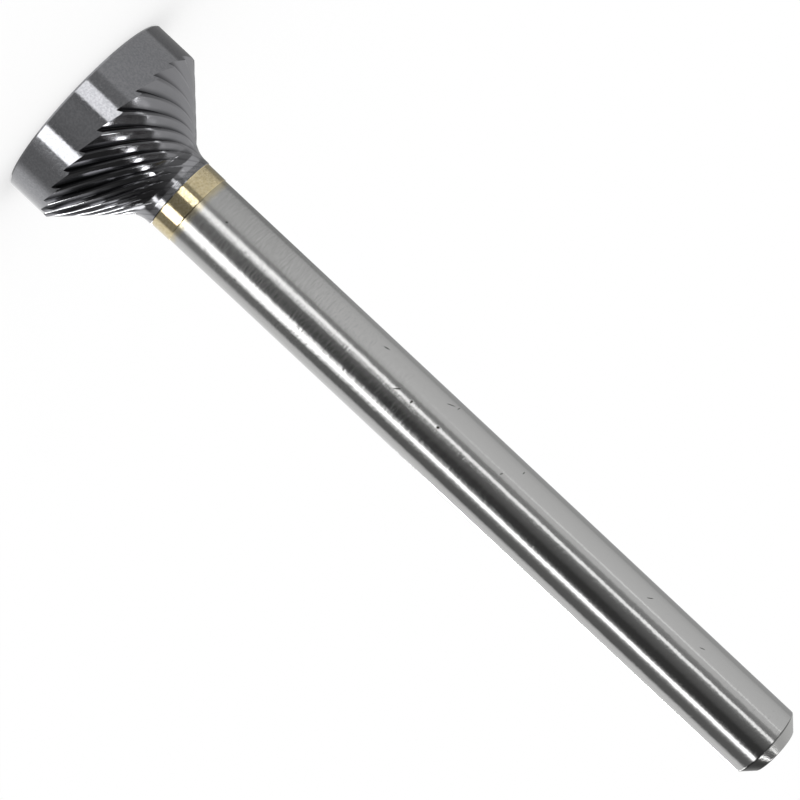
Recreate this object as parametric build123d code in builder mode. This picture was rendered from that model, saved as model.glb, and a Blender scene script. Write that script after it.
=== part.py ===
"""Carbide burr: an inverted-cone head of sintered carbide, brazed to a steel shank.

The tool stands on the flat front face of its head, shank up. The origin is the
centre of that face and +Z runs along the axis towards the shank's end.
Three pieces, each its own solid: the fluted head, the braze and the shank.
"""

import os
from math import atan, cos, pi, radians, sin, tan

from build123d import *

# ---------------------------------------------------------------- driving sizes, mm
overall_length = 70.0

head_diameter = 16.0
rim_land_length = 3.6  # the plain cylinder in front of the flutes
front_edge_break = 0.15  # tiny chamfer round the front face
back_cone_angle = 45.0  # between the cone's side and the axis
neck_diameter = 6.25
neck_fillet = 2.0
neck_land_length = 1.2  # from where cone and neck would meet, to the braze

braze_width = 1.8  # as seen on the outside, with the bevels that it fills
braze_film = 0.15  # in the middle, between the two flat ends

shank_diameter = 6.0
shank_end_chamfer = 1.0

# ---------------------------------------------------------------- driving sizes, flutes
gullet_count = 5  # broad gullets that run out over the neck
flutes_per_gullet = 5  # flutes on the cone for each of them
rim_spiral_angle = 45.0  # between a flute and the cone's side line, at the rim
spiral_rise = 0.25  # power of the falling radius by which that angle's tangent grows
ridge_at_rim = -28.6  # where a gullet's ridge meets the rim's corner, degrees about +Z
rake_share = 0.18  # of the pitch, taken by the steep cutting face
ridge_share = 0.14  # of the pitch, left as the ridge between two flutes
rim_flute_depth = 0.32  # square to the cone, where the flutes start
cone_flute_depth = 0.12  # the same where the cone turns into the neck
gullet_depth = 0.15
neck_land_share = 0.8  # of a pitch, left between two gullets on the neck
short_run_out = 1.0  # height over which a short flute rises out of the cone
neck_run_out = 0.6  # height over which a gullet rises out of the neck
neck_end_land = 0.1  # smooth carbide left in front of the braze
cutter_wall = 0.9  # how far a cutter stands above the surface it cuts

# ---------------------------------------------------------------- worked-out sizes
head_radius = head_diameter / 2
neck_radius = neck_diameter / 2
shank_radius = shank_diameter / 2
cone_lean = radians(back_cone_angle)

corner_z = rim_land_length + (head_radius - neck_radius) / tan(cone_lean)
fillet_reach = neck_fillet * tan(cone_lean / 2)
cone_end_z = corner_z - fillet_reach * cos(cone_lean)
neck_start_z = corner_z + fillet_reach
head_length = corner_z + neck_land_length

joint_bevel = (braze_width - braze_film) / 2
joint_front_z = head_length + joint_bevel
joint_back_z = joint_front_z + braze_film
shank_start_z = head_length + braze_width

flute_count = gullet_count * flutes_per_gullet
flute_pitch = 2 * pi / flute_count
flute_start_z = rim_land_length - 1.4 * rim_flute_depth / sin(cone_lean)
flute_end_z = head_length - neck_end_land


def side_radius(z):
    """Radius of the unfluted side at this height; the cone goes on in front of the rim."""
    if z < cone_end_z:
        return head_radius - (z - rim_land_length) * tan(cone_lean)
    if z < neck_start_z:
        return neck_radius + neck_fillet * (1 - cos(side_lean(z)))
    return neck_radius


def side_lean(z):
    """Angle between the side and the axis at this height."""
    if z < cone_end_z:
        return cone_lean
    if z < neck_start_z:
        return atan((neck_start_z - z) / (neck_fillet**2 - (neck_start_z - z) ** 2) ** 0.5)
    return 0.0


def flute_turn(z, steps=100):
    """Angle about +Z that a flute has turned at this height, counted from the rim."""
    step = (z - rim_land_length) / steps
    turn = 0
    for i in range(steps):
        height = rim_land_length + (i + 0.5) * step
        radius = side_radius(height)
        spiral = tan(radians(rim_spiral_angle)) * (head_radius / radius) ** spiral_rise
        turn -= spiral * step / cos(side_lean(height)) / radius
    return turn


def smooth_step(value, low, high):
    """0 below low, 1 above high, and a smooth S between."""
    share = min(max((value - low) / (high - low), 0.0), 1.0)
    return share * share * (3 - 2 * share)


def spread(low, high, count):
    """This many heights, evenly spaced from low to high."""
    return [low + (high - low) * i / (count - 1) for i in range(count)]


def tooth_corners(z, end_ridge, pitches, depth, lift):
    """The cutter's corners at height z, for the flute that ends at a ridge.

    A long flat face falls from the ridge before, and a short steep one rises to
    the end ridge. pitches is the flute's width, depth is square to the side, and
    lift raises the whole cutter, to let the flute run out.
    """
    surface = side_radius(z) + lift
    last = radians(ridge_at_rim) + flute_turn(z) + end_ridge * flute_pitch
    first = last - (pitches - ridge_share) * flute_pitch
    bottom = last - rake_share * flute_pitch
    polar = [
        (surface, first),
        (surface - depth / cos(side_lean(z)), bottom),
        (surface, last),
        (surface + cutter_wall, last),
        (surface + cutter_wall, first),
    ]
    return [(radius * cos(angle), radius * sin(angle)) for radius, angle in polar]


def cone_depth(z):
    """Depth of the ordinary flutes, which get shallower as they crowd together."""
    share = smooth_step(z, rim_land_length, cone_end_z)
    return rim_flute_depth + (cone_flute_depth - rim_flute_depth) * share


# ---------------------------------------------------------------- flute cutters
short_end_z = cone_end_z
short_rise_z = short_end_z - short_run_out
neck_rise_z = flute_end_z - neck_run_out
cone_heights = spread(flute_start_z, short_rise_z, 4)
short_heights = cone_heights + spread(short_rise_z, short_end_z, 3)[1:]
gullet_heights = cone_heights + spread(short_rise_z, flute_end_z, 8)[1:]
gullet_pitches = flutes_per_gullet - neck_land_share + ridge_share
gullet_sag = neck_radius * (1 - cos(gullet_pitches * flute_pitch / 2))

with BuildPart() as short_cutter:
    for z in short_heights:
        lift = 1.4 * cone_depth(z) * smooth_step(z, short_rise_z, short_end_z)
        with BuildSketch(Plane.XY.offset(z)):
            with BuildLine():
                Polyline(*tooth_corners(z, 1, 1, cone_depth(z), lift), close=True)
            make_face()
    loft()

with BuildPart() as gullet_cutter:
    for z in gullet_heights:
        widening = smooth_step(z, short_rise_z, short_end_z)
        pitches = 1 + (gullet_pitches - 1) * widening
        depth = cone_depth(z) + (gullet_depth - cone_depth(z)) * widening
        lift = (gullet_depth + gullet_sag) * smooth_step(z, neck_rise_z, flute_end_z)
        with BuildSketch(Plane.XY.offset(z)):
            with BuildLine():
                Polyline(*tooth_corners(z, flutes_per_gullet, pitches, depth, lift), close=True)
            make_face()
    loft()

# ---------------------------------------------------------------- carbide head
with BuildPart() as carbide_head:
    with BuildSketch(Plane.XZ) as head_half:
        with BuildLine():
            Polyline(
                (0, 0),
                (head_radius - front_edge_break, 0),
                (head_radius, front_edge_break),
                (head_radius, rim_land_length),
                (neck_radius, corner_z),
                (neck_radius, head_length),
                (neck_radius - joint_bevel, joint_front_z),
                (0, joint_front_z),
                close=True,
            )
        make_face()
        neck_corner = head_half.vertices().sort_by_distance((neck_radius, corner_z))[0]
        fillet(neck_corner, neck_fillet)
    revolve(axis=Axis.Z)
    with PolarLocations(0, gullet_count):
        add(gullet_cutter.part, mode=Mode.SUBTRACT)
    for flute in range(flutes_per_gullet - 1):
        turn = 360 * flute / flute_count
        with PolarLocations(0, gullet_count, start_angle=turn):
            add(short_cutter.part, mode=Mode.SUBTRACT)
carbide_head.part.label = "carbide_head"

# ---------------------------------------------------------------- braze
with BuildPart() as braze_ring:
    with BuildSketch(Plane.XZ):
        with BuildLine():
            Polyline(
                (0, joint_front_z),
                (neck_radius - joint_bevel, joint_front_z),
                (neck_radius, head_length),
                (shank_radius, shank_start_z),
                (shank_radius - joint_bevel, joint_back_z),
                (0, joint_back_z),
                close=True,
            )
        make_face()
    revolve(axis=Axis.Z)
braze_ring.part.label = "braze_ring"

# ---------------------------------------------------------------- steel shank
with BuildPart() as steel_shank:
    with BuildSketch(Plane.XZ):
        with BuildLine():
            Polyline(
                (0, joint_back_z),
                (shank_radius - joint_bevel, joint_back_z),
                (shank_radius, shank_start_z),
                (shank_radius, overall_length - shank_end_chamfer),
                (shank_radius - shank_end_chamfer, overall_length),
                (0, overall_length),
                close=True,
            )
        make_face()
    revolve(axis=Axis.Z)
steel_shank.part.label = "steel_shank"

# ---------------------------------------------------------------- files
os.makedirs("parts", exist_ok=True)
export_step(carbide_head.part, "parts/carbide_head.step")
export_step(braze_ring.part, "parts/braze_ring.step")
export_step(steel_shank.part, "parts/steel_shank.step")
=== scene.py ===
# %% [markdown]
# # A carbide burr
# A burr is a rotary file. Its head is tungsten carbide, sintered from powder and then ground with
# diamond wheels, and it is brazed to a plain rod of hardened steel that a collet grips. Everything
# here is metal, so the picture is made by three things: true edges, the fine marks that each
# grinding step leaves, and what the polished faces reflect.
# The script loads the CAD model as a frame and builds finer meshes in the same places.

# %% Load the frame
import math

import bpy
import numpy as np
from mathutils import Matrix, Vector


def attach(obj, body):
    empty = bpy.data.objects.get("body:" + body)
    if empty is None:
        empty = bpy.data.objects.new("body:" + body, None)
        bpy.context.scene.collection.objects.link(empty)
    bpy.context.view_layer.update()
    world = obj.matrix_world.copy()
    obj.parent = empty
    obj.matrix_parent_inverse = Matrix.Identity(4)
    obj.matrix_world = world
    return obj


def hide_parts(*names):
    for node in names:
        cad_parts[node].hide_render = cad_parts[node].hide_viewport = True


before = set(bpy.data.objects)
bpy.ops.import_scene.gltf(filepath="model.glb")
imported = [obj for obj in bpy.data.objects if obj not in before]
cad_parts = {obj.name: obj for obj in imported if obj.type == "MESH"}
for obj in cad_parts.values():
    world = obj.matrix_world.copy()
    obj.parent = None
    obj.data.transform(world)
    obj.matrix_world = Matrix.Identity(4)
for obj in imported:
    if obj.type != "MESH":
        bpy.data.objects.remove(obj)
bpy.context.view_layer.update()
print("CAD nodes:", sorted(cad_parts))

# %% [markdown]
# ## Sizes
# These are the sizes that the CAD source uses, in millimetres, so each mesh lands where its solid
# is. Reading them off the CAD meshes would also work, but named numbers show what a shape depends
# on. Blender works in metres, so one factor turns millimetres into metres when a mesh is made.

# %% Sizes in millimetres
MM = 0.001

overall_length = 70.0
head_radius = 8.0
rim_land = 3.6
front_break = 0.15
cone_lean = math.radians(45)
neck_radius = 3.125
neck_fillet = 2.0
neck_land = 1.2
braze_width = 1.8
braze_film = 0.15
shank_radius = 3.0
shank_chamfer = 1.0

corner_z = rim_land + (head_radius - neck_radius) / math.tan(cone_lean)
fillet_reach = neck_fillet * math.tan(cone_lean / 2)
cone_end_z = corner_z - fillet_reach * math.cos(cone_lean)
neck_start_z = corner_z + fillet_reach
head_length = corner_z + neck_land
joint_bevel = (braze_width - braze_film) / 2
joint_front_z = head_length + joint_bevel
joint_back_z = joint_front_z + braze_film
shank_start_z = head_length + braze_width
print(f"head {head_length:.2f} mm long, shank starts at {shank_start_z:.2f} mm")

# %% [markdown]
# ## The flutes, as numbers
# Twenty-five flutes run up the cone in five groups of five. Each is a saw-tooth valley: a long gentle
# face falls away from one ridge, and a short steep one, the cutting face, climbs to the next.
# Near the neck four flutes of each group run out, and the fifth widens into a smooth gullet.
# Cutting them with booleans would leave long thin triangles and tired edges. Instead a function
# gives the radius of the finished surface for any height and any place among the flutes, and the
# mesh samples it along the ridges.

# %% Flute sizes
gullet_count = 5
flutes_per_gullet = 5
flute_count = gullet_count * flutes_per_gullet
flute_pitch = 2 * math.pi / flute_count
rim_spiral = math.radians(45)
spiral_rise = 0.25  # power of the falling radius by which the spiral's tangent grows
ridge_at_rim = math.radians(-28.6)
rake_share = 0.18  # of the pitch, taken by the steep cutting face
ridge_share = 0.14  # of the pitch, left as the ridge between two flutes
rim_flute_depth = 0.32
cone_flute_depth = 0.12
gullet_depth = 0.05
short_flute_lift = 1.4  # the lift that ends a short flute, in flute depths
gullet_lift_share = 1.3  # the same for a gullet
face_hollow = 0.06  # how far a wheel-ground face bows in, as a share of the flute's depth
valley_round = 0.035  # mm, the rounding at the bottom of a flute
valley_reach = 0.4  # pitches over which that rounding is worked out
neck_land_share = 0.8
gullet_pitches = flutes_per_gullet - neck_land_share + ridge_share
neck_run_out = 1.8
neck_end_land = 0.1
flute_end_z = head_length - neck_end_land
short_end_z = 9.3
short_rise_z = 7.3
neck_rise_z = flute_end_z - neck_run_out
print(f"{flute_count} flutes, {math.degrees(flute_pitch):.1f} degrees apart")

# %% The side that the flutes are cut into


def smooth_step(value, low, high):
    """0 below low, 1 above high, and a smooth S between."""
    share = np.clip((value - low) / (high - low), 0, 1)
    return share * share * (3 - 2 * share)


def side_radius(z):
    """Radius of the unfluted side: the cone, then the fillet, then the neck."""
    cone = head_radius - (z - rim_land) * math.tan(cone_lean)
    drop = np.clip(neck_start_z - z, 0, neck_fillet * math.sin(cone_lean))
    curve = neck_radius + neck_fillet - np.sqrt(neck_fillet**2 - drop**2)
    return np.where(z < cone_end_z, cone, curve)


def lean_cosine(z):
    """Cosine of the angle between the side and the axis."""
    drop = np.clip(neck_start_z - z, 0, neck_fillet * math.sin(cone_lean))
    return np.sqrt(1 - (drop / neck_fillet) ** 2)


print("side radius at 6 mm:", round(float(side_radius(np.array(6.0))), 3), "mm")

# %% How far a flute has turned
# the rate rises as the radius falls, so the turn is added up in small steps
turn_heights = np.linspace(0, flute_end_z, 3000)
turn_radii = side_radius(turn_heights)
spiral_tangents = math.tan(rim_spiral) * (head_radius / turn_radii) ** spiral_rise
turn_rates = -spiral_tangents / lean_cosine(turn_heights) / turn_radii
turn_steps = (turn_rates[1:] + turn_rates[:-1]) / 2 * np.diff(turn_heights)
turn_sums = np.concatenate([[0], np.cumsum(turn_steps)])
turn_sums -= np.interp(rim_land, turn_heights, turn_sums)
print(f"a flute turns {math.degrees(turn_sums[-1]):.0f} degrees on its way to the neck")

# %% The surface between two ridges


def cone_depth(z):
    """Depth of the ordinary flutes, which get shallower as they crowd together."""
    share = smooth_step(z, rim_land, cone_end_z)
    return rim_flute_depth + (cone_flute_depth - rim_flute_depth) * share


def cut_radius(z, phase, end_ridge, pitches, depth, lift):
    """Radius that one wheel leaves: a hollow gentle face, a round valley, a steep face."""
    surface = side_radius(z) + lift
    first = end_ridge - (pitches - ridge_share)
    bottom = end_ridge - rake_share
    low = surface - depth / lean_cosine(z)
    share = np.clip((phase - first) / (bottom - first), 0, 1)
    gentle = surface + (low - surface) * share - face_hollow * depth * 4 * share * (1 - share)
    steep = low + (surface - low) * (phase - bottom) / (end_ridge - bottom)
    gap = gentle - steep
    wheel = (gentle + steep + np.sqrt(gap**2 + valley_round**2)) / 2
    wheel = np.where(phase < bottom - valley_reach, gentle, wheel)
    return np.where((phase > first) & (phase < end_ridge), wheel, np.inf)


def head_surface(z, phase):
    """Radius of the finished side at a height, where phase counts pitches in a group of five."""
    depth = cone_depth(z)
    widening = smooth_step(z, short_rise_z, short_end_z)
    short_lift = short_flute_lift * depth * widening
    pitches = 1 + (gullet_pitches - 1) * widening
    wide_depth = depth + (gullet_depth - depth) * widening
    gullet_lift = gullet_lift_share * gullet_depth * smooth_step(z, neck_rise_z, flute_end_z)
    short_ridges = range(1, flutes_per_gullet)
    cuts = [cut_radius(z, phase, ridge, 1, depth, short_lift) for ridge in short_ridges]
    cuts.append(cut_radius(z, phase, flutes_per_gullet, pitches, wide_depth, gullet_lift))
    return np.minimum(side_radius(z), np.minimum.reduce(cuts))


print("valley at mid cone:", round(float(head_surface(np.array(5.0), np.array(0.84))), 3), "mm")

# %% [markdown]
# ## A skin from rows of points
# All three pieces are closed round an axis. Blender's Screw modifier could turn the plain ones, but
# not the fluted head. So one helper serves all: it joins columns of points into quads, wraps the
# last column to the first, and closes both ends on a single point.

# %% Make a closed mesh from columns


def skin(name, columns, front_z, back_z, edge_angle, finishes=None, across=None):
    """A closed mesh from (column, row, xyz) points in mm, with a centre point at each end.

    finishes gives each band between two rows a material, and across gives each column its
    place in a map, for marks that follow the columns.
    """
    count, rows = columns.shape[:2]
    points = columns.reshape(-1, 3).tolist()
    points += [[0.0, 0.0, front_z], [0.0, 0.0, back_z]]
    front, back = count * rows, count * rows + 1
    faces = []
    for i in range(count):
        j = (i + 1) % count
        a, b = i * rows, j * rows
        faces.append((front, b, a))
        faces += [(a + k, b + k, b + k + 1, a + k + 1) for k in range(rows - 1)]
        faces.append((a + rows - 1, b + rows - 1, back))
    mesh = bpy.data.meshes.new(name)
    mesh.from_pydata([[c * MM for c in p] for p in points], [], faces)
    mesh.shade_smooth()
    mesh.set_sharp_from_angle(angle=math.radians(edge_angle))
    if finishes is not None:
        mesh.polygons.foreach_set("material_index", np.tile(finishes, count).astype(np.int32))
    if across is not None:
        map_columns(mesh, columns[:, :, 2], across, front_z, back_z)
    piece = bpy.data.objects.new(name, mesh)
    bpy.context.scene.collection.objects.link(piece)
    print(name, len(mesh.vertices), "points,", len(mesh.polygons), "faces")
    return piece


def map_columns(mesh, heights, across, front_z, back_z):
    """A map named along: across a column by its given place, and along it by height in mm."""
    left = across
    right = np.append(across[1:], across[-1] + across[1] - across[0])
    after = np.roll(heights, -1, axis=0)
    corners = []
    for i in range(len(heights)):
        u, v = left[i], right[i]
        near, far = heights[i], after[i]
        corners += [(u, front_z), (v, far[0]), (u, near[0])]
        for k in range(len(near) - 1):
            corners += [(u, near[k]), (v, far[k]), (v, far[k + 1]), (u, near[k + 1])]
        corners += [(u, near[-1]), (v, far[-1]), (u, back_z)]
    layer = mesh.uv_layers.new(name="along")
    layer.data.foreach_set("uv", np.array(corners, dtype=np.float32).ravel())


def polar(radius, angle, z):
    """Points from radius, angle and height arrays of one shape."""
    return np.stack([radius * np.cos(angle), radius * np.sin(angle), z], -1)


print("a point on the rim:", polar(head_radius, 0.0, rim_land))

# %% [markdown]
# ## The carbide head
# The mesh's columns run along the flutes, so each ridge is one clean line of edges. They go on
# along the same spiral over the plain rim, so no two columns ever cross.
# Where the fluted cone would stand outside the rim's cylinder, the cylinder wins. The height at
# which they meet is found by halving an interval, which draws the leaf-shaped ends exactly.

# %% Columns, and where each one leaves the rim
pitch_phases = [0.0, 0.012, 0.07, 0.13, 0.15, 0.2, 0.28, 0.36, 0.44, 0.52]
pitch_phases += [0.6, 0.67, 0.73, 0.775, 0.805, 0.83, 0.86, 0.9, 0.95, 0.985]
phases = np.concatenate([np.array(pitch_phases) + k for k in range(flute_count)])
group_phases = phases % flutes_per_gullet

low = np.full(len(phases), rim_land - 1.0)
high = np.full(len(phases), rim_land)
for _ in range(30):
    middle = (low + high) / 2
    outside = head_surface(middle, group_phases) > head_radius
    low = np.where(outside, middle, low)
    high = np.where(outside, high, middle)
leaf_z = (low + high) / 2
print(f"the flutes start between {leaf_z.min():.2f} and {leaf_z.max():.2f} mm")

# %% Rows of the front face, the rim, the flutes and the joint
front_r = np.array([1.5, 3.0, 4.5, 6.0, 7.2, head_radius - front_break])
front_z = np.zeros(len(front_r))

land_share = np.linspace(0, 1, 25)[:-1]
land_z = front_break + (leaf_z[:, None] - front_break) * land_share
land_r = np.full(land_z.shape, head_radius)
land_turn = np.interp(land_z, turn_heights, turn_sums)
land_angle = ridge_at_rim + phases[:, None] * flute_pitch + land_turn

flute_share = np.linspace(0, 1, 140)
flute_z = leaf_z[:, None] + (flute_end_z - leaf_z[:, None]) * flute_share
flute_r = head_surface(flute_z, group_phases[:, None])
flute_r[:, 0] = head_radius
flute_turn = np.interp(flute_z, turn_heights, turn_sums)
flute_angle = ridge_at_rim + phases[:, None] * flute_pitch + flute_turn

tail_r = np.array([neck_radius, neck_radius - joint_bevel, 1.2])
tail_z = np.array([head_length, joint_front_z, joint_front_z])
print("rows:", len(front_r), land_z.shape[1], flute_z.shape[1], len(tail_r))

# %% Head mesh


def whole(row):
    """The same row of numbers for every column of the head."""
    return np.broadcast_to(row, (len(phases), len(row)))


head_r = np.concatenate([whole(front_r), land_r, flute_r, whole(tail_r)], 1)
head_z = np.concatenate([whole(front_z), land_z, flute_z, whole(tail_z)], 1)
front_angle = np.repeat(land_angle[:, :1], len(front_r), 1)
tail_angle = np.repeat(flute_angle[:, -1:], len(tail_r), 1)
head_angle = np.concatenate([front_angle, land_angle, flute_angle, tail_angle], 1)

FACE, LAND, FLUTES = 0, 1, 2
head_finishes = [FACE] * len(front_r) + [LAND] * (land_z.shape[1] + 1)
head_finishes += [FLUTES] * (flute_z.shape[1] + len(tail_r))
head_points = polar(head_r, head_angle, head_z)
head = skin("burr_head", head_points, 0.0, joint_front_z, 30, head_finishes, phases)

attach(head, "root")
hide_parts("carbide_head")

# %% [markdown]
# ## The braze
# The filler runs out of the joint and is ground flush with the neck and the shank. Seen closely it
# is never quite flush: each end rounds off, which catches a thin line of light.

# %% Braze mesh
SOFT_EDGE = 25  # degrees, above which an edge between two bands stays sharp


def turned(name, profile, finishes=None, segments=192):
    """A closed turned piece from (radius, height) corners; the first and last lie on the axis."""
    angles = np.linspace(0, 2 * math.pi, segments, endpoint=False)[:, None]
    inner = np.array(profile[1:-1])
    radius = np.broadcast_to(inner[:, 0], (segments, len(inner)))
    height = np.broadcast_to(inner[:, 1], (segments, len(inner)))
    columns = polar(radius, np.broadcast_to(angles, radius.shape), height)
    return skin(name, columns, profile[0][1], profile[-1][1], SOFT_EDGE, finishes)


braze_profile = [
    (0, joint_front_z),
    (neck_radius - joint_bevel, joint_front_z),
    (neck_radius - 0.045, head_length + 0.03),
    (neck_radius - 0.055, head_length + 0.08),
    (neck_radius - 0.056, head_length + 0.12),
    (shank_radius + 0.051, shank_start_z - 0.1),
    (shank_radius + 0.05, shank_start_z - 0.06),
    (shank_radius + 0.035, shank_start_z - 0.01),
    (shank_radius, shank_start_z),
    (shank_radius - joint_bevel, joint_back_z),
    (0, joint_back_z),
]
braze = turned("braze_band", braze_profile)
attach(braze, "root")
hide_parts("braze_ring")

# %% [markdown]
# ## The shank
# A plain rod, but not a plain cylinder: its chamfer's corner is slightly rounded. Smooth shading
# bends the reflections next to such a small round band, so short bands stand close to it and keep
# the long ones true. Many rows along the rod do the same over its whole length.

# %% Shank mesh
corner_round = 0.06
corner = overall_length - shank_chamfer
end_radius = shank_radius - shank_chamfer
rod_rows = np.linspace(shank_start_z, corner - corner_round - 0.03, 60)
rod_rows = np.append(rod_rows, corner - corner_round)
shank_profile = [
    (0, joint_back_z),
    (shank_radius - joint_bevel, joint_back_z),
    *[(shank_radius, z) for z in rod_rows],
    (shank_radius - 0.011, corner - 0.005),
    (shank_radius - 0.042, corner + 0.042),
    (shank_radius - 0.08, corner + 0.08),
    (end_radius + 0.06, overall_length - 0.06),
    (end_radius + 0.03, overall_length - 0.03),
    (end_radius - 0.03, overall_length),
    (1.0, overall_length),
    (0, overall_length),
]
BODY, TURNED = 0, 1
body_bands = 2 + len(rod_rows)
turned_bands = len(shank_profile) - 1 - body_bands
shank = turned("ground_shank", shank_profile, [BODY] * body_bands + [TURNED] * turned_bands)
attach(shank, "root")
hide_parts("steel_shank")

# %% [markdown]
# ## Materials
# A material is a small network of nodes. The shader node says how the surface reflects light, and
# other nodes feed it. One function turns the usual hex colours into the linear numbers that Blender
# wants, one sets or links a node's inputs, and one adds a node with its settings and links.

# %% Colour and node helpers


def linear(hex_colour):
    """Linear RGBA from an sRGB hex colour."""
    parts = [int(hex_colour[i : i + 2], 16) / 255 for i in (1, 3, 5)]
    rgb = [c / 12.92 if c <= 0.04045 else ((c + 0.055) / 1.055) ** 2.4 for c in parts]
    return (*rgb, 1.0)


def feed(tree, node, inputs):
    """Gives a node's inputs their values, or links them to other nodes' outputs."""
    for key, value in inputs.items():
        if isinstance(value, bpy.types.NodeSocket):
            tree.links.new(value, node.inputs[key])
        else:
            node.inputs[key].default_value = value


def add_node(tree, kind, settings=None, inputs=None):
    """A new node with its settings and its inputs."""
    node = tree.nodes.new(kind)
    for key, value in (settings or {}).items():
        setattr(node, key, value)
    feed(tree, node, inputs or {})
    return node


def bare_metal(name):
    """A new metal: the material, its node tree, its shader and the place on the object."""
    material = bpy.data.materials.new(name)
    material.use_nodes = True
    tree = material.node_tree
    shader = tree.nodes["Principled BSDF"]
    shader.inputs["Metallic"].default_value = 1.0
    place = add_node(tree, "ShaderNodeTexCoord").outputs["Object"]
    return material, tree, shader, place


# short names for settings that many nodes share
TIMES = {"operation": "MULTIPLY"}
TIMES_PLUS = {"operation": "MULTIPLY_ADD"}
PLUS = {"operation": "ADD"}
SMOOTH = {"interpolation_type": "SMOOTHSTEP"}
COLOURS = {"data_type": "RGBA"}
COLOUR_A, COLOUR_B, COLOUR_OUT = 6, 7, 2  # a Mix node's sockets when it mixes colours
print("mid grey in linear numbers:", [round(c, 3) for c in linear("#808080")])

# %% [markdown]
# ## Grinding marks
# A grinding wheel leaves fine grooves along its path. An image of them would blur close up and
# repeat. Noise that is stretched far along the path and kept tight across it looks the same from
# any distance. The numbers are marks per millimetre on each axis. Real grooves lie about a
# hundredth of a millimetre apart, which is too fine to show, so they are drawn ten times coarser.
# The height of the marks is in millimetres too: real ones are about a thousandth.

# %% Marks as noise


def marks(tree, place, per_mm, detail=3.0):
    """Noise with this many marks per millimetre on each of the three axes."""
    density = [n / MM for n in per_mm]
    stretched = add_node(tree, "ShaderNodeVectorMath", TIMES, {0: place, 1: density})
    noise = add_node(
        tree,
        "ShaderNodeTexNoise",
        inputs={"Vector": stretched.outputs[0], "Scale": 1.0, "Detail": detail, "Roughness": 0.6},
    )
    return noise.outputs[0]


def smooth_range(low, high, to_low, to_high):
    """Inputs that carry one range to another: noise lies mostly between 0.3 and 0.7."""
    return {"From Min": low, "From Max": high, "To Min": to_low, "To Max": to_high}


ring_marks = 12.0
print(f"ring marks are drawn {1 / ring_marks:.3f} mm apart")

# %% [markdown]
# ## Front face: surface-ground carbide
# Tungsten carbide is a darker grey than steel. The front face is ground flat under a wheel that
# goes to and fro, so its marks are straight lines, and it is duller than the rest of the head.

# %% Front face
face_carbide, tree, shader, place = bare_metal("tungsten carbide, surface ground")
lines = marks(tree, place, (0.25, 14.0, 1.0))
grain = marks(tree, place, (9.0, 9.0, 9.0))
height = add_node(tree, "ShaderNodeMath", TIMES_PLUS, {0: grain, 1: 0.4, 2: lines})
bump = add_node(
    tree,
    "ShaderNodeBump",
    inputs={"Height": height.outputs[0], "Strength": 1.0, "Distance": 0.0025 * MM},
)
clouds = marks(tree, place, (0.5, 0.9, 0.5))
gloss = smooth_range(0.3, 0.7, 0.18, 0.25)
level = add_node(tree, "ShaderNodeMapRange", SMOOTH, {"Value": clouds, **gloss})
feed(
    tree,
    shader,
    {"Base Color": linear("#8E8E92"), "Roughness": level.outputs[0], "Normal": bump.outputs[0]},
)
head.data.materials.append(face_carbide)
print(face_carbide.name, len(tree.nodes), "nodes")

# %% [markdown]
# ## Rim: carbide ground round
# The rim is turned against a fine wheel, which leaves it nearly polished. What breaks its
# reflections is less the wheel's rings than the grain of the carbide, so the grain leads here. The
# same grain clouds the colour a little.

# %% Rim
land_carbide, tree, shader, place = bare_metal("tungsten carbide, ground round")
rings = marks(tree, place, (0.2, 0.2, ring_marks))
grain = marks(tree, place, (6.0, 6.0, 5.0))
height = add_node(tree, "ShaderNodeMath", TIMES_PLUS, {0: rings, 1: 0.12, 2: grain})
bump = add_node(
    tree,
    "ShaderNodeBump",
    inputs={"Height": height.outputs[0], "Strength": 1.0, "Distance": 0.0015 * MM},
)
patches = marks(tree, place, (4.0, 4.0, 4.0))
gloss = smooth_range(0.35, 0.7, 0.06, 0.12)
level = add_node(tree, "ShaderNodeMapRange", SMOOTH, {"Value": patches, **gloss})
clouds = marks(tree, place, (6.0, 6.0, 6.0))
shade = smooth_range(0.3, 0.7, 0.0, 1.0)
share = add_node(tree, "ShaderNodeMapRange", SMOOTH, {"Value": clouds, **shade})
colour = add_node(
    tree,
    "ShaderNodeMix",
    COLOURS,
    {0: share.outputs[0], COLOUR_A: linear("#86878A"), COLOUR_B: linear("#949497")},
)
feed(
    tree,
    shader,
    {
        "Base Color": colour.outputs[COLOUR_OUT],
        "Roughness": level.outputs[0],
        "Normal": bump.outputs[0],
    },
)
head.data.materials.append(land_carbide)
print(land_carbide.name, len(tree.nodes), "nodes")

# %% [markdown]
# ## Flutes: carbide cut by a profiled wheel
# The wheel's marks follow the flutes round the cone. Noise in space can't follow a spiral, but the
# head's map can: it counts flutes one way and millimetres the other.
# The bottom of each flute is darkened with painted shade, where shade falls in the valley. The map
# gives each point its place between two ridges, so the painted dark line is a smooth step up and down
# over that place, and it is weaker towards the neck.

# %% Streaks and gloss of the flutes
flute_carbide, tree, shader, place = bare_metal("tungsten carbide, wheel cut flutes")
along = add_node(tree, "ShaderNodeUVMap", {"uv_map": "along"}).outputs[0]
streaks = add_node(tree, "ShaderNodeVectorMath", TIMES, {0: along, 1: (22.0, 0.7, 1.0)})
lines = add_node(
    tree, "ShaderNodeTexNoise", inputs={"Vector": streaks.outputs[0], "Scale": 1.0, "Detail": 3.0}
)
grain = marks(tree, place, (6.0, 6.0, 6.0))
height = add_node(tree, "ShaderNodeMath", TIMES_PLUS, {0: grain, 1: 0.3, 2: lines.outputs[0]})
bump = add_node(
    tree,
    "ShaderNodeBump",
    inputs={"Height": height.outputs[0], "Strength": 1.0, "Distance": 0.0008 * MM},
)
patches = marks(tree, place, (1.5, 1.5, 1.5))
gloss = smooth_range(0.3, 0.7, 0.07, 0.14)
level = add_node(tree, "ShaderNodeMapRange", SMOOTH, {"Value": patches, **gloss})
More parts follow.
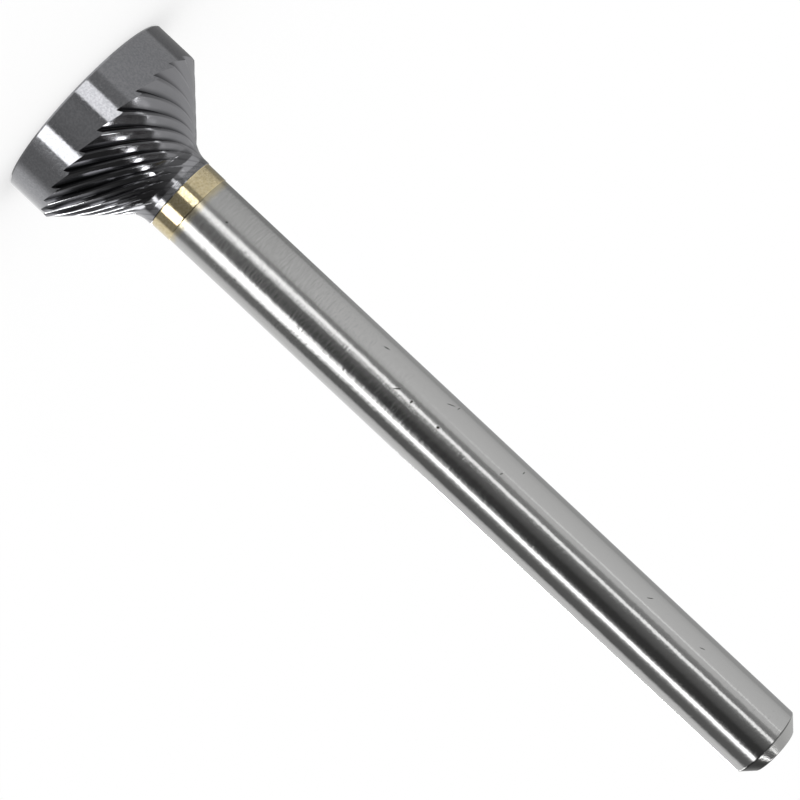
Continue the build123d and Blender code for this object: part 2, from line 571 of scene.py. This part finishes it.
feed(tree, shader, {"Roughness": level.outputs[0], "Normal": bump.outputs[0]})
print("flute streaks and gloss:", len(tree.nodes), "nodes")

# %% Painted shade in the valleys
column = add_node(tree, "ShaderNodeSeparateXYZ", inputs={0: along})
between = add_node(tree, "ShaderNodeMath", {"operation": "FRACT"}, {0: column.outputs[0]})
# painted shade: the carbide is made darker at the bottom of each flute, less so towards the neck
painted_valley_shade = None
for value, steps in (
    (between.outputs[0], smooth_range(0.5, 0.8, 0.0, 1.0)),
    (between.outputs[0], smooth_range(0.86, 0.99, 1.0, 0.0)),
    (column.outputs[1], smooth_range(6.5, 8.8, 0.75, 0.25)),
):
    step = add_node(tree, "ShaderNodeMapRange", SMOOTH, {"Value": value, **steps})
    if painted_valley_shade is None:
        painted_valley_shade = step
    else:
        painted_valley_shade = add_node(tree, "ShaderNodeMath", TIMES, {0: painted_valley_shade.outputs[0], 1: step.outputs[0]})
colour = add_node(
    tree,
    "ShaderNodeMix",
    COLOURS,
    {0: painted_valley_shade.outputs[0], COLOUR_A: linear("#98989B"), COLOUR_B: linear("#303134")},
)
feed(tree, shader, {"Base Color": colour.outputs[COLOUR_OUT]})
head.data.materials.append(flute_carbide)
print(flute_carbide.name, len(tree.nodes), "nodes")

# %% [markdown]
# ## Braze: silver alloy ground flush
# The filler is silver with copper and zinc, so it is a pale gold. It is softer than what it joins,
# and the wheel that trims it leaves it a little mottled.

# %% Braze finish
silver_braze, tree, shader, place = bare_metal("silver brazing alloy, ground flush")
rings = marks(tree, place, (0.3, 0.3, 10.0))
dapple = marks(tree, place, (5.0, 5.0, 4.0))
height = add_node(tree, "ShaderNodeMath", TIMES_PLUS, {0: rings, 1: 0.4, 2: dapple})
bump = add_node(
    tree,
    "ShaderNodeBump",
    inputs={"Height": height.outputs[0], "Strength": 1.0, "Distance": 0.0016 * MM},
)
patches = marks(tree, place, (2.0, 2.0, 3.0))
gloss = smooth_range(0.35, 0.7, 0.07, 0.16)
level = add_node(tree, "ShaderNodeMapRange", SMOOTH, {"Value": patches, **gloss})
clouds = marks(tree, place, (5.0, 5.0, 6.0), 4.0)
shade = smooth_range(0.3, 0.7, 0.0, 1.0)
share = add_node(tree, "ShaderNodeMapRange", SMOOTH, {"Value": clouds, **shade})
colour = add_node(
    tree,
    "ShaderNodeMix",
    COLOURS,
    {0: share.outputs[0], COLOUR_A: linear("#CBBC94"), COLOUR_B: linear("#DACDAB")},
)
feed(
    tree,
    shader,
    {
        "Base Color": colour.outputs[COLOUR_OUT],
        "Roughness": level.outputs[0],
        "Normal": bump.outputs[0],
    },
)
braze.data.materials.append(silver_braze)
print(silver_braze.name, len(tree.nodes), "nodes")

# %% [markdown]
# ## Shank: hardened steel, ground between two wheels
# The rod turns between two wheels, so its marks are rings, and slight waves show in long
# reflections. Next to the joint the heat of brazing has left it duller and a little gold, and
# towards its end it is nearly polished.

# %% Rings, waves and gloss of the shank
steel, tree, shader, place = bare_metal("hardened steel, ground between wheels")
up_shank = add_node(tree, "ShaderNodeSeparateXYZ", inputs={0: place}).outputs[2]
rings = marks(tree, place, (0.12, 0.12, 9.0))
beads = marks(tree, place, (2.2, 2.2, 6.0), 2.0)
waves = marks(tree, place, (0.9, 0.9, 1.6))
grooves = add_node(tree, "ShaderNodeMath", TIMES_PLUS, {0: rings, 1: 0.4, 2: beads})
ground = add_node(tree, "ShaderNodeMath", PLUS, {0: grooves.outputs[0], 1: waves})

heat = smooth_range(shank_start_z * MM, 26 * MM, 0.05, 0.0)
heat_dulled = add_node(tree, "ShaderNodeMapRange", SMOOTH, {"Value": up_shank, **heat})
polish = smooth_range(18 * MM, 60 * MM, 0.12, 0.09)
polished = add_node(tree, "ShaderNodeMapRange", SMOOTH, {"Value": up_shank, **polish})
level = add_node(
    tree, "ShaderNodeMath", PLUS, {0: heat_dulled.outputs[0], 1: polished.outputs[0]}
)
patches = marks(tree, place, (1.6, 1.6, 4.5))
level = add_node(tree, "ShaderNodeMath", TIMES_PLUS, {0: patches, 1: 0.08, 2: level.outputs[0]})
feed(tree, shader, {"Roughness": level.outputs[0]})
print("shank relief and gloss:", len(tree.nodes), "nodes")

# %% [markdown]
# ## Nicks
# A burr lives in a drawer with others, so its shank has a few small pits and scratches. Each is an
# ellipsoid laid into the surface: a Mapping node carries the place into the ellipsoid's own
# measure, where its edge lies at a distance of 1. Inside, the steel is dark and sunk.

# %% Nicks on the shank
# angle from the camera's side, height, length, slant and width, in degrees and millimetres
nicks = [
    (-45, 28.7, 0.55, 20, 0.10),
    (-9, 31.3, 0.70, 40, 0.08),
    (-9, 32.7, 0.30, 75, 0.16),
    (-8, 35.4, 0.26, 30, 0.20),
    (-50, 35.0, 0.80, 35, 0.07),
    (-56, 35.6, 0.45, 80, 0.06),
    (-50, 42.3, 0.35, 85, 0.07),
    (-22, 41.1, 0.30, 60, 0.07),
    (-40, 55.3, 0.60, 40, 0.06),
    (-38, 60.6, 0.50, 25, 0.06),
    (-16, 13.9, 0.22, 50, 0.12),
    (38, 17.2, 0.30, 10, 0.14),
    (118, 24.0, 0.60, 30, 0.10),
    (160, 44.0, 0.80, 65, 0.07),
    (-130, 52.5, 0.50, 20, 0.12),
    (-160, 20.5, 0.35, 70, 0.14),
]
nick_reach = 0.2  # mm, how far a nick's ellipsoid reaches in and out of the surface
nick_edge = smooth_range(0.5, 1.1, 1.0, 0.0)
nicked = None
for angle, nick_z, length, slant, width in nicks:
    turn = math.radians(angle - 90)
    centre = (shank_radius * math.cos(turn), shank_radius * math.sin(turn), nick_z)
    measure = add_node(
        tree,
        "ShaderNodeMapping",
        {"vector_type": "TEXTURE"},
        {
            "Vector": place,
            "Location": [c * MM for c in centre],
            "Rotation": (math.radians(slant), 0.0, turn),
            "Scale": [c * MM for c in (nick_reach, width / 2, length / 2)],
        },
    )
    away = add_node(tree, "ShaderNodeVectorMath", {"operation": "LENGTH"}, {0: measure.outputs[0]})
    nick = add_node(
        tree, "ShaderNodeMapRange", SMOOTH, {"Value": away.outputs["Value"], **nick_edge}
    )
    if nicked is None:
        nicked = nick
    else:
        nicked = add_node(tree, "ShaderNodeMath", PLUS, {0: nicked.outputs[0], 1: nick.outputs[0]})
height = add_node(
    tree, "ShaderNodeMath", TIMES_PLUS, {0: nicked.outputs[0], 1: -2.0, 2: ground.outputs[0]}
)
bump = add_node(
    tree,
    "ShaderNodeBump",
    inputs={"Height": height.outputs[0], "Strength": 1.0, "Distance": 0.008 * MM},
)
feed(tree, shader, {"Normal": bump.outputs[0]})
print(len(nicks), "nicks")

# %% [markdown]
# ## Colour of the steel
# The heat tint ends about a millimetre from the joint, along an uneven line, because the flame
# doesn't heat the rod evenly. Noise added to the height makes that line wander.

# %% Heat tint, and the dark of the nicks
wander = marks(tree, place, (1.0, 1.0, 1.0))
edge = add_node(tree, "ShaderNodeMath", TIMES_PLUS, {0: wander, 1: 0.5 * MM, 2: up_shank})
cooling = smooth_range((shank_start_z + 0.25) * MM, (shank_start_z + 0.95) * MM, 0.0, 1.0)
cooled = add_node(tree, "ShaderNodeMapRange", SMOOTH, {"Value": edge.outputs[0], **cooling})
tinted = add_node(
    tree,
    "ShaderNodeMix",
    COLOURS,
    {0: cooled.outputs[0], COLOUR_A: linear("#C3BAA0"), COLOUR_B: linear("#B7B7B6")},
)
colour = add_node(
    tree,
    "ShaderNodeMix",
    COLOURS,
    {0: nicked.outputs[0], COLOUR_A: tinted.outputs[COLOUR_OUT], COLOUR_B: linear("#4A4743")},
)
feed(tree, shader, {"Base Color": colour.outputs[COLOUR_OUT]})
shank.data.materials.append(steel)
print(steel.name, len(tree.nodes), "nodes")

# %% [markdown]
# ## Shank's end: turned steel
# The end and its chamfer are cut on a lathe, so the marks are circles round the axis. Their noise is
# read along one line, by the distance from the axis, which gives the same value all round.

# %% Turned end
turned_steel, tree, shader, place = bare_metal("hardened steel, turned end")
flat = add_node(tree, "ShaderNodeVectorMath", TIMES, {0: place, 1: (1, 1, 0)})
distance = add_node(tree, "ShaderNodeVectorMath", {"operation": "LENGTH"}, {0: flat.outputs[0]})
outward = add_node(tree, "ShaderNodeCombineXYZ", inputs={0: distance.outputs["Value"]})
rings = marks(tree, outward.outputs[0], (16.0, 1.0, 1.0))
grain = marks(tree, place, (5.0, 5.0, 5.0))
height = add_node(tree, "ShaderNodeMath", TIMES_PLUS, {0: grain, 1: 0.6, 2: rings})
bump = add_node(
    tree,
    "ShaderNodeBump",
    inputs={"Height": height.outputs[0], "Strength": 1.0, "Distance": 0.0025 * MM},
)
feed(
    tree,
    shader,
    {"Base Color": linear("#C4C4C2"), "Roughness": 0.2, "Normal": bump.outputs[0]},
)
shank.data.materials.append(turned_steel)
print(turned_steel.name, len(tree.nodes), "nodes")

# %% [markdown]
# ## Camera
# The camera looks level, square to the tool's axis, and is rolled so that the tool crosses the
# picture from corner to corner. A matrix whose columns are the camera's right, up and back
# directions places it exactly, with no angles to juggle.

# %% Camera
camera_distance = 0.200
camera_height = 0.032
camera_roll = math.radians(43.126)

lens = bpy.data.cameras.new("camera")
lens.lens = 121.5
lens.sensor_width = 36
camera = bpy.data.objects.new("camera", lens)
bpy.context.scene.collection.objects.link(camera)
right = Vector((-math.sin(camera_roll), 0, math.cos(camera_roll)))
up = Vector((-math.cos(camera_roll), 0, -math.sin(camera_roll)))
back = Vector((0, -1, 0))
camera.matrix_world = Matrix(
    (
        (right.x, up.x, back.x, 0),
        (right.y, up.y, back.y, -camera_distance),
        (right.z, up.z, back.z, camera_height),
        (0, 0, 0, 1),
    )
)
bpy.context.scene.camera = camera
bpy.context.scene.view_settings.view_transform = "Standard"
print(f"camera {camera_distance * 1000:.0f} mm away, {lens.lens} mm lens")

# %% [markdown]
# ## The studio
# Polished metal shows its surroundings, so ordinary lamps alone would leave it black with a few
# dots. The tool stands inside a ring of cards, with more cards as a roof: white and grey ones give
# the soft tones, narrow bright ones the long highlights, and black ones the dark bands between
# them. The cards are seen only in reflections.
# Each card is a patch of a large sphere. Directions are given as an azimuth, counted from the
# camera's side towards +X, and an elevation.

# %% One card
studio_radius = 2.0
studio_height = 0.03
lamp_radius = studio_radius - 0.1
row_degrees = 4  # a card has a row of faces for about this much elevation
wall_degrees = 2.0  # a wall has a face for this much azimuth
lamp_degrees = 1.5


def patch(name, turn, low, high, glow, distance):
    """A piece of a sphere that glows. The arrays give its edges and brightness along it."""
    rows = max(2, int(np.max(high - low) / row_degrees) + 1)
    share = np.linspace(0, 1, rows)
    rise = np.radians(low[:, None] + (high - low)[:, None] * share)
    turn = np.radians(turn)[:, None]
    x = distance * np.sin(turn) * np.cos(rise)
    y = -distance * np.cos(turn) * np.cos(rise)
    z = studio_height + distance * np.sin(rise)
    points = np.stack([x, y, z], -1).reshape(-1, 3).tolist()
    faces = []
    for i in range(len(turn) - 1):
        for k in range(rows - 1):
            a, b = i * rows + k, (i + 1) * rows + k
            faces.append((a, b, b + 1, a + 1))
    mesh = bpy.data.meshes.new(name)
    mesh.from_pydata(points, [], faces)
    layer = mesh.attributes.new("glow", "FLOAT", "POINT")
    layer.data.foreach_set("value", np.repeat(glow, rows).astype(np.float32))
    mesh.materials.append(glowing_card(name))
    piece = bpy.data.objects.new(name, mesh)
    bpy.context.scene.collection.objects.link(piece)
    piece.visible_camera = False
    piece.visible_diffuse = False
    piece.visible_shadow = False


def glowing_card(name):
    """A white glow whose strength each point of the card's mesh carries."""
    material = bpy.data.materials.new(name)
    material.use_nodes = True
    tree = material.node_tree
    tree.nodes.clear()
    level = add_node(tree, "ShaderNodeAttribute", {"attribute_name": "glow"}).outputs["Fac"]
    light = add_node(tree, "ShaderNodeEmission", inputs={"Color": (1, 1, 1, 1), "Strength": level})
    add_node(tree, "ShaderNodeOutputMaterial", inputs={"Surface": light.outputs[0]})
    return material


print("the cards lie", lamp_radius, "to", studio_radius, "m away")

# %% [markdown]
# ## Walls and lamps
# A wall goes all the way round between two elevations, and its brightness changes with the
# azimuth. The rod's level reflections look at the walls near eye level, which the rim, the neck
# and the braze see at slightly different heights. The cone leans back and looks at the roof.
# A lamp is one bright patch in front of the walls, which gives the sparkles along the flutes.

# %% Walls
walls = [
    ("wall_eye_level", -3.0, 17.0, [
        (-180, 0.40), (-126, 0.52), (-121, 0.68), (-100, 0.80), (-56, 0.88), (-37, 0.80),
        (-34, 0.42), (-19, 0.26), (-18, 1.9), (-11, 1.9), (-10, 0.40), (0, 0.20), (16, 0.13),
        (24, 0.06), (42, 0.06), (50, 0.22), (53, 0.8), (55, 3.0), (63, 3.0), (66, 0.8),
        (71, 0.32), (80, 0.18), (104, 0.16), (109, 0.66), (116, 0.95), (180, 1.0),
    ]),
    ("wall_neck_level", -7.2, -5.9, [
        (-180, 0.30), (-126, 0.26), (-121, 0.24), (-37, 0.20), (-34, 0.12), (44, 0.12),
        (46, 4.0), (70, 4.0), (74, 0.26), (104, 0.26), (109, 0.70), (116, 0.95), (180, 1.0),
    ]),
    ("wall_joint_level", -5.9, -3.0, [
        (-180, 0.30), (-126, 0.36), (-121, 0.70), (-100, 0.80), (-56, 0.84), (-37, 0.76),
        (-34, 0.34), (-22, 0.34), (-21, 2.8), (1, 2.8), (2, 0.26), (10, 0.22), (36, 0.20),
        (43, 0.30), (45, 4.0), (74, 4.0), (76, 0.26), (104, 0.26), (109, 0.70), (116, 0.95),
        (180, 1.0),
    ]),
    ("wall_low", -20.0, -7.2, [
        (-180, 0.25), (-126, 0.30), (-121, 0.58), (-37, 0.66), (-34, 0.42), (-21, 0.38),
        (-20, 2.6), (-4, 2.6), (-3, 0.30), (8, 0.40), (30, 0.36), (43, 0.28), (44, 4.0),
        (60, 4.0), (61, 0.60), (76, 0.34), (100, 0.34), (108, 0.60), (116, 0.95), (180, 1.1),
    ]),
    ("floor_glow", -60.0, -20.0, [
        (-180, 0.3), (-135, 0.7), (-60, 0.45), (-50, 0.14), (20, 0.14), (30, 1.2), (130, 1.0),
        (140, 0.4), (180, 0.3),
    ]),
    ("roof_low", 17.0, 64.0, [
        (-180, 0.5), (-160, 0.62), (-140, 0.66), (-125, 0.5), (-112, 0.34), (-95, 0.26),
        (-40, 0.22), (-10, 0.12), (30, 0.06), (60, 0.04), (140, 0.04), (150, 0.08), (180, 0.5),
    ]),
    ("roof_high", 64.0, 83.0, [
        (-180, 0.55), (-135, 0.62), (-118, 0.36), (-90, 0.28), (-40, 0.2), (0, 0.12),
        (100, 0.1), (150, 0.12), (165, 0.2), (180, 0.35),
    ]),
    ("roof_top", 83.0, 90.0, [(-180, 0.2), (0, 0.18), (180, 0.2)]),
]
for name, low_edge, high_edge, profile in walls:
    turns, levels = np.array(profile, dtype=float).T
    turn = np.unique(np.concatenate([np.arange(-180, 181, wall_degrees), turns]))
    glow = np.interp(turn, turns, levels)
    low, high = np.full(len(turn), low_edge), np.full(len(turn), high_edge)
    patch(name, turn, low, high, glow, studio_radius)
print(len(walls), "walls")

# %% Lamps
# name, brightness, and azimuth, lower edge and upper edge at each station along the lamp
lamps = [
    ("lamp_arc", 0.9, [
        (-20, 77.5, 79), (20, 80, 81.5), (75, 79, 81), (100, 77, 79), (118, 72.5, 75),
        (130, 68, 70.5), (138, 61.5, 64),
    ]),
    ("lamp_arc_back", 0.9, [(170, 77.5, 79.5), (195, 77.5, 80), (215, 76.5, 79)]),
    ("lamp_over_right", 12.0, [(126, 67.3, 71.2), (135, 67.3, 71.2)]),
    ("lamp_over_back", 7.0, [(172, 77.3, 79.7), (187, 77.3, 79.7)]),
    ("lamp_over_left", 3.0, [(-93, 69, 73), (-84, 69, 73)]),
    ("lamp_band", 2.8, [
        (100, 15.5, 22), (120, 16, 27), (135, 17, 26), (150, 15, 23), (160, 14.5, 17),
    ]),
    ("lamp_back", 12.0, [(161, 2, 14), (174, 2, 14)]),
    ("lamp_thin", 1.5, [(-54.5, 3, 13), (-51.5, 3, 13)]),
]
for name, brightness, stations in lamps:
    turns, lows, highs = np.array(stations, dtype=float).T
    turn = np.linspace(turns[0], turns[-1], int((turns[-1] - turns[0]) / lamp_degrees) + 2)
    low, high = np.interp(turn, turns, lows), np.interp(turn, turns, highs)
    patch(name, turn, low, high, np.full(len(turn), brightness), lamp_radius)
print(len(lamps), "lamps")

# %% [markdown]
# ## Floor and background
# The floor is a plain sheet of white paper that keeps the tool's soft shadow. Half of what a ray
# from the camera meets there is a plain white glow, which lifts the paper to the background's white
# without any more light on the tool. The background is plain white.

# %% Floor
floor_reach = 4.0
white_share = 0.5
floor_corners = [(-1, -1), (1, -1), (1, 1), (-1, 1)]
floor_mesh = bpy.data.meshes.new("floor")
floor_mesh.from_pydata(
    [(x * floor_reach, y * floor_reach, 0) for x, y in floor_corners], [], [(0, 1, 2, 3)]
)
floor = bpy.data.objects.new("floor", floor_mesh)
bpy.context.scene.collection.objects.link(floor)
floor_paper = bpy.data.materials.new("white paper floor")
floor_paper.use_nodes = True
tree = floor_paper.node_tree
tree.nodes.clear()
paper = add_node(tree, "ShaderNodeBsdfDiffuse", inputs={"Color": linear("#FFFFFF")})
white = add_node(tree, "ShaderNodeEmission", inputs={"Color": (1, 1, 1, 1)})
path = add_node(tree, "ShaderNodeLightPath")
seen = path.outputs["Is Camera Ray"]
for ray in ("Is Glossy Ray", "Is Transmission Ray"):
    either = {0: seen, 1: path.outputs[ray]}
    seen = add_node(tree, "ShaderNodeMath", {"operation": "MAXIMUM"}, either).outputs[0]
share = add_node(tree, "ShaderNodeMath", TIMES, {0: seen, 1: white_share})
both = add_node(
    tree,
    "ShaderNodeMixShader",
    inputs={0: share.outputs[0], 1: paper.outputs[0], 2: white.outputs[0]},
)
add_node(tree, "ShaderNodeOutputMaterial", inputs={"Surface": both.outputs[0]})
floor_mesh.materials.append(floor_paper)
floor.visible_glossy = False
print("floor", 2 * floor_reach, "m wide")

# %% Background
world = bpy.data.worlds.new("white studio")
bpy.context.scene.world = world
world.use_nodes = True
tree = world.node_tree
tree.nodes.clear()
sky = add_node(tree, "ShaderNodeBackground", inputs={"Color": (1, 1, 1, 1), "Strength": 1.0})
add_node(tree, "ShaderNodeOutputWorld", inputs={"Surface": sky.outputs[0]})
print("background:", world.name)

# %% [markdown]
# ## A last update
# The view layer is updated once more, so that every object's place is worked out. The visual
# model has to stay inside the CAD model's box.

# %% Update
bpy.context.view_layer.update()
